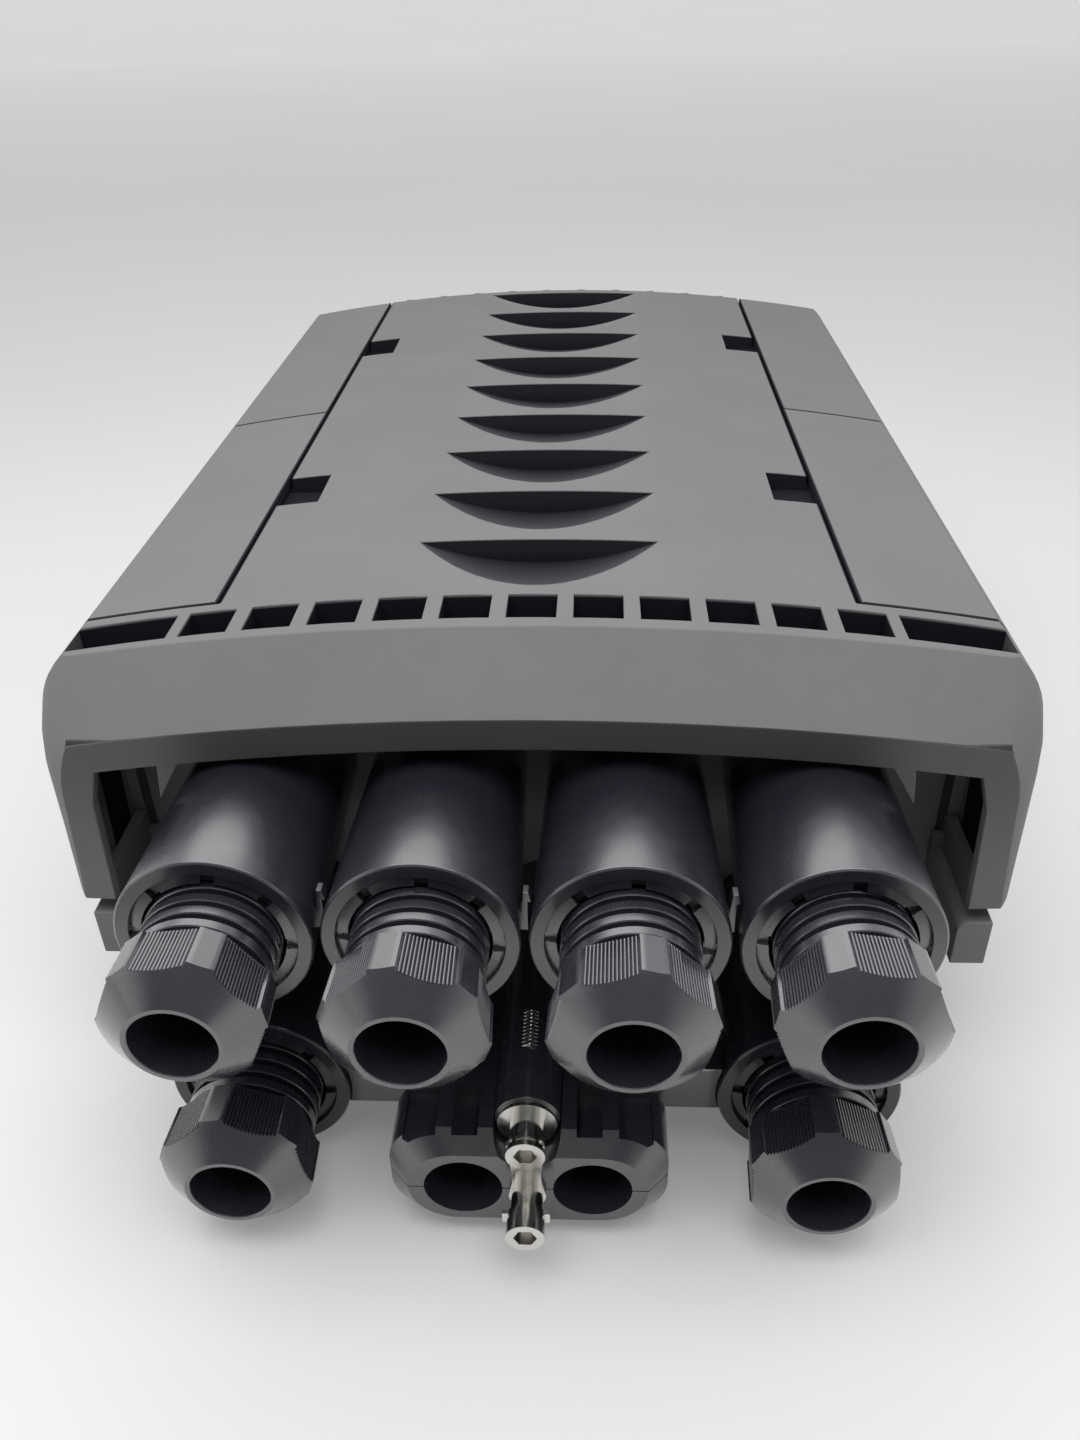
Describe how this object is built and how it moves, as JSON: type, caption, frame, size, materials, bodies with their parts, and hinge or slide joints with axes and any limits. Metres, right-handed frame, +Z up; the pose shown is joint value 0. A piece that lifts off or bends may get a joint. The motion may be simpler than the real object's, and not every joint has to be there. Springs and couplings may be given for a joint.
{
  "type": "fibre splice closure",
  "caption": "Horizontal hooded splice closure with screwed cable glands, an oval double port, side clasps, an earthing link and a stack of splice trays inside.",
  "frame": {"origin": "on the floor under the middle of the bounding box", "axes": "+Z up, +Y from the cable entries to the rear, +X to the right seen from the cable entries"},
  "size_m": [0.266, 0.44, 0.1395],
  "materials": {
    "housing": "fine spark-eroded charcoal",
    "gland": "satin charcoal",
    "plated": "bright nickel plate",
    "seal": "matt",
    "steel": "satin",
    "tray": "matt light grey",
    "lid": "clear sheet"
  },
  "bodies": {
    "housing": {"anchor_bar": "steel", "anchor_screws": "steel", "base_shell": "housing", "bonding_link": "plated", "clamp_screw": "plated", "clamp_washer": "plated", "clasp_hinge_pins": "steel", "cover_gasket": "seal", "cover_shell": "housing", "earth_stud": "plated", "earth_washer": "plated", "gland_seal_1": "seal", "gland_seal_2": "seal", "gland_seal_3": "seal", "gland_seal_4": "seal", "gland_seal_5": "seal", "gland_seal_6": "seal", "oval_clamp_lower": "gland", "oval_clamp_upper": "gland", "oval_seal": "seal", "oval_sleeve": "gland", "port_collar_1": "gland", "port_collar_2": "gland", "port_collar_3": "gland", "port_collar_4": "gland", "port_collar_5": "gland", "port_collar_6": "gland", "port_sleeve_1": "gland", "port_sleeve_2": "gland", "port_sleeve_3": "gland", "port_sleeve_4": "gland", "port_sleeve_5": "gland", "port_sleeve_6": "gland", "splice_tray_1": "tray", "splice_tray_2": "tray", "splice_tray_3": "tray", "splice_tray_4": "tray", "tray_carrier": "tray", "tray_hinge_pins": "steel", "tray_lid": "lid"},
    "clasp_front_left": {"clasp_front_left": "housing"},
    "clasp_front_right": {"clasp_front_right": "housing"},
    "clasp_rear_left": {"clasp_rear_left": "housing"},
    "clasp_rear_right": {"clasp_rear_right": "housing"},
    "gland_1_thrust": {"thrust_ring_1": "gland"},
    "gland_1_nut": {"gland_nut_1": "gland"},
    "gland_2_thrust": {"thrust_ring_2": "gland"},
    "gland_2_nut": {"gland_nut_2": "gland"},
    "gland_3_thrust": {"thrust_ring_3": "gland"},
    "gland_3_nut": {"gland_nut_3": "gland"},
    "gland_4_thrust": {"thrust_ring_4": "gland"},
    "gland_4_nut": {"gland_nut_4": "gland"},
    "gland_5_thrust": {"thrust_ring_5": "gland"},
    "gland_5_nut": {"gland_nut_5": "gland"},
    "gland_6_thrust": {"thrust_ring_6": "gland"},
    "gland_6_nut": {"gland_nut_6": "gland"}
  },
  "joints": [
    {"name": "clasp_front_left_hinge", "type": "hinge", "parent": "housing", "child": "clasp_front_left", "pos_m": [-0.13, 0, 0.0484], "axis": [0, -1, 0], "range_deg": [0, 110]},
    {"name": "clasp_front_right_hinge", "type": "hinge", "parent": "housing", "child": "clasp_front_right", "pos_m": [0.13, 0, 0.0484], "axis": [0, 1, 0], "range_deg": [0, 110]},
    {"name": "clasp_rear_left_hinge", "type": "hinge", "parent": "housing", "child": "clasp_rear_left", "pos_m": [-0.13, 0, 0.0484], "axis": [0, -1, 0], "range_deg": [0, 110]},
    {"name": "clasp_rear_right_hinge", "type": "hinge", "parent": "housing", "child": "clasp_rear_right", "pos_m": [0.13, 0, 0.0484], "axis": [0, 1, 0], "range_deg": [0, 110]},
    {"name": "gland_1_advance", "type": "slide", "parent": "housing", "child": "gland_1_thrust", "axis": [0, -1, 0], "range_m": [-0.0084, 0.0105]},
    {"name": "gland_1_turn", "type": "hinge", "parent": "gland_1_thrust", "child": "gland_1_nut", "pos_m": [-0.075, -0.185, 0.08375], "axis": [0, -1, 0], "range_deg": [-720, 900]},
    {"name": "gland_2_advance", "type": "slide", "parent": "housing", "child": "gland_2_thrust", "axis": [0, -1, 0], "range_m": [-0.0084, 0.0105]},
    {"name": "gland_2_turn", "type": "hinge", "parent": "gland_2_thrust", "child": "gland_2_nut", "pos_m": [-0.025, -0.185, 0.08375], "axis": [0, -1, 0], "range_deg": [-720, 900]},
    {"name": "gland_3_advance", "type": "slide", "parent": "housing", "child": "gland_3_thrust", "axis": [0, -1, 0], "range_m": [-0.0084, 0.0105]},
    {"name": "gland_3_turn", "type": "hinge", "parent": "gland_3_thrust", "child": "gland_3_nut", "pos_m": [0.025, -0.185, 0.08375], "axis": [0, -1, 0], "range_deg": [-720, 900]},
    {"name": "gland_4_advance", "type": "slide", "parent": "housing", "child": "gland_4_thrust", "axis": [0, -1, 0], "range_m": [-0.0084, 0.0105]},
    {"name": "gland_4_turn", "type": "hinge", "parent": "gland_4_thrust", "child": "gland_4_nut", "pos_m": [0.075, -0.185, 0.08375], "axis": [0, -1, 0], "range_deg": [-720, 900]},
    {"name": "gland_5_advance", "type": "slide", "parent": "housing", "child": "gland_5_thrust", "axis": [0, -1, 0], "range_m": [-0.0084, 0.0105]},
    {"name": "gland_5_turn", "type": "hinge", "parent": "gland_5_thrust", "child": "gland_5_nut", "pos_m": [-0.0735, -0.1801, 0.025], "axis": [0, -1, 0], "range_deg": [-720, 900]},
    {"name": "gland_6_advance", "type": "slide", "parent": "housing", "child": "gland_6_thrust", "axis": [0, -1, 0], "range_m": [-0.0084, 0.0105]},
    {"name": "gland_6_turn", "type": "hinge", "parent": "gland_6_thrust", "child": "gland_6_nut", "pos_m": [0.0735, -0.1801, 0.025], "axis": [0, -1, 0], "range_deg": [-720, 900]}
  ],
  "couplings": [
    {"joint": "gland_1_advance", "follows": "gland_1_turn", "m_per_rad": 0.00066845},
    {"joint": "gland_2_advance", "follows": "gland_2_turn", "m_per_rad": 0.00066845},
    {"joint": "gland_3_advance", "follows": "gland_3_turn", "m_per_rad": 0.00066845},
    {"joint": "gland_4_advance", "follows": "gland_4_turn", "m_per_rad": 0.00066845},
    {"joint": "gland_5_advance", "follows": "gland_5_turn", "m_per_rad": 0.00066845},
    {"joint": "gland_6_advance", "follows": "gland_6_turn", "m_per_rad": 0.00066845}
  ]
}
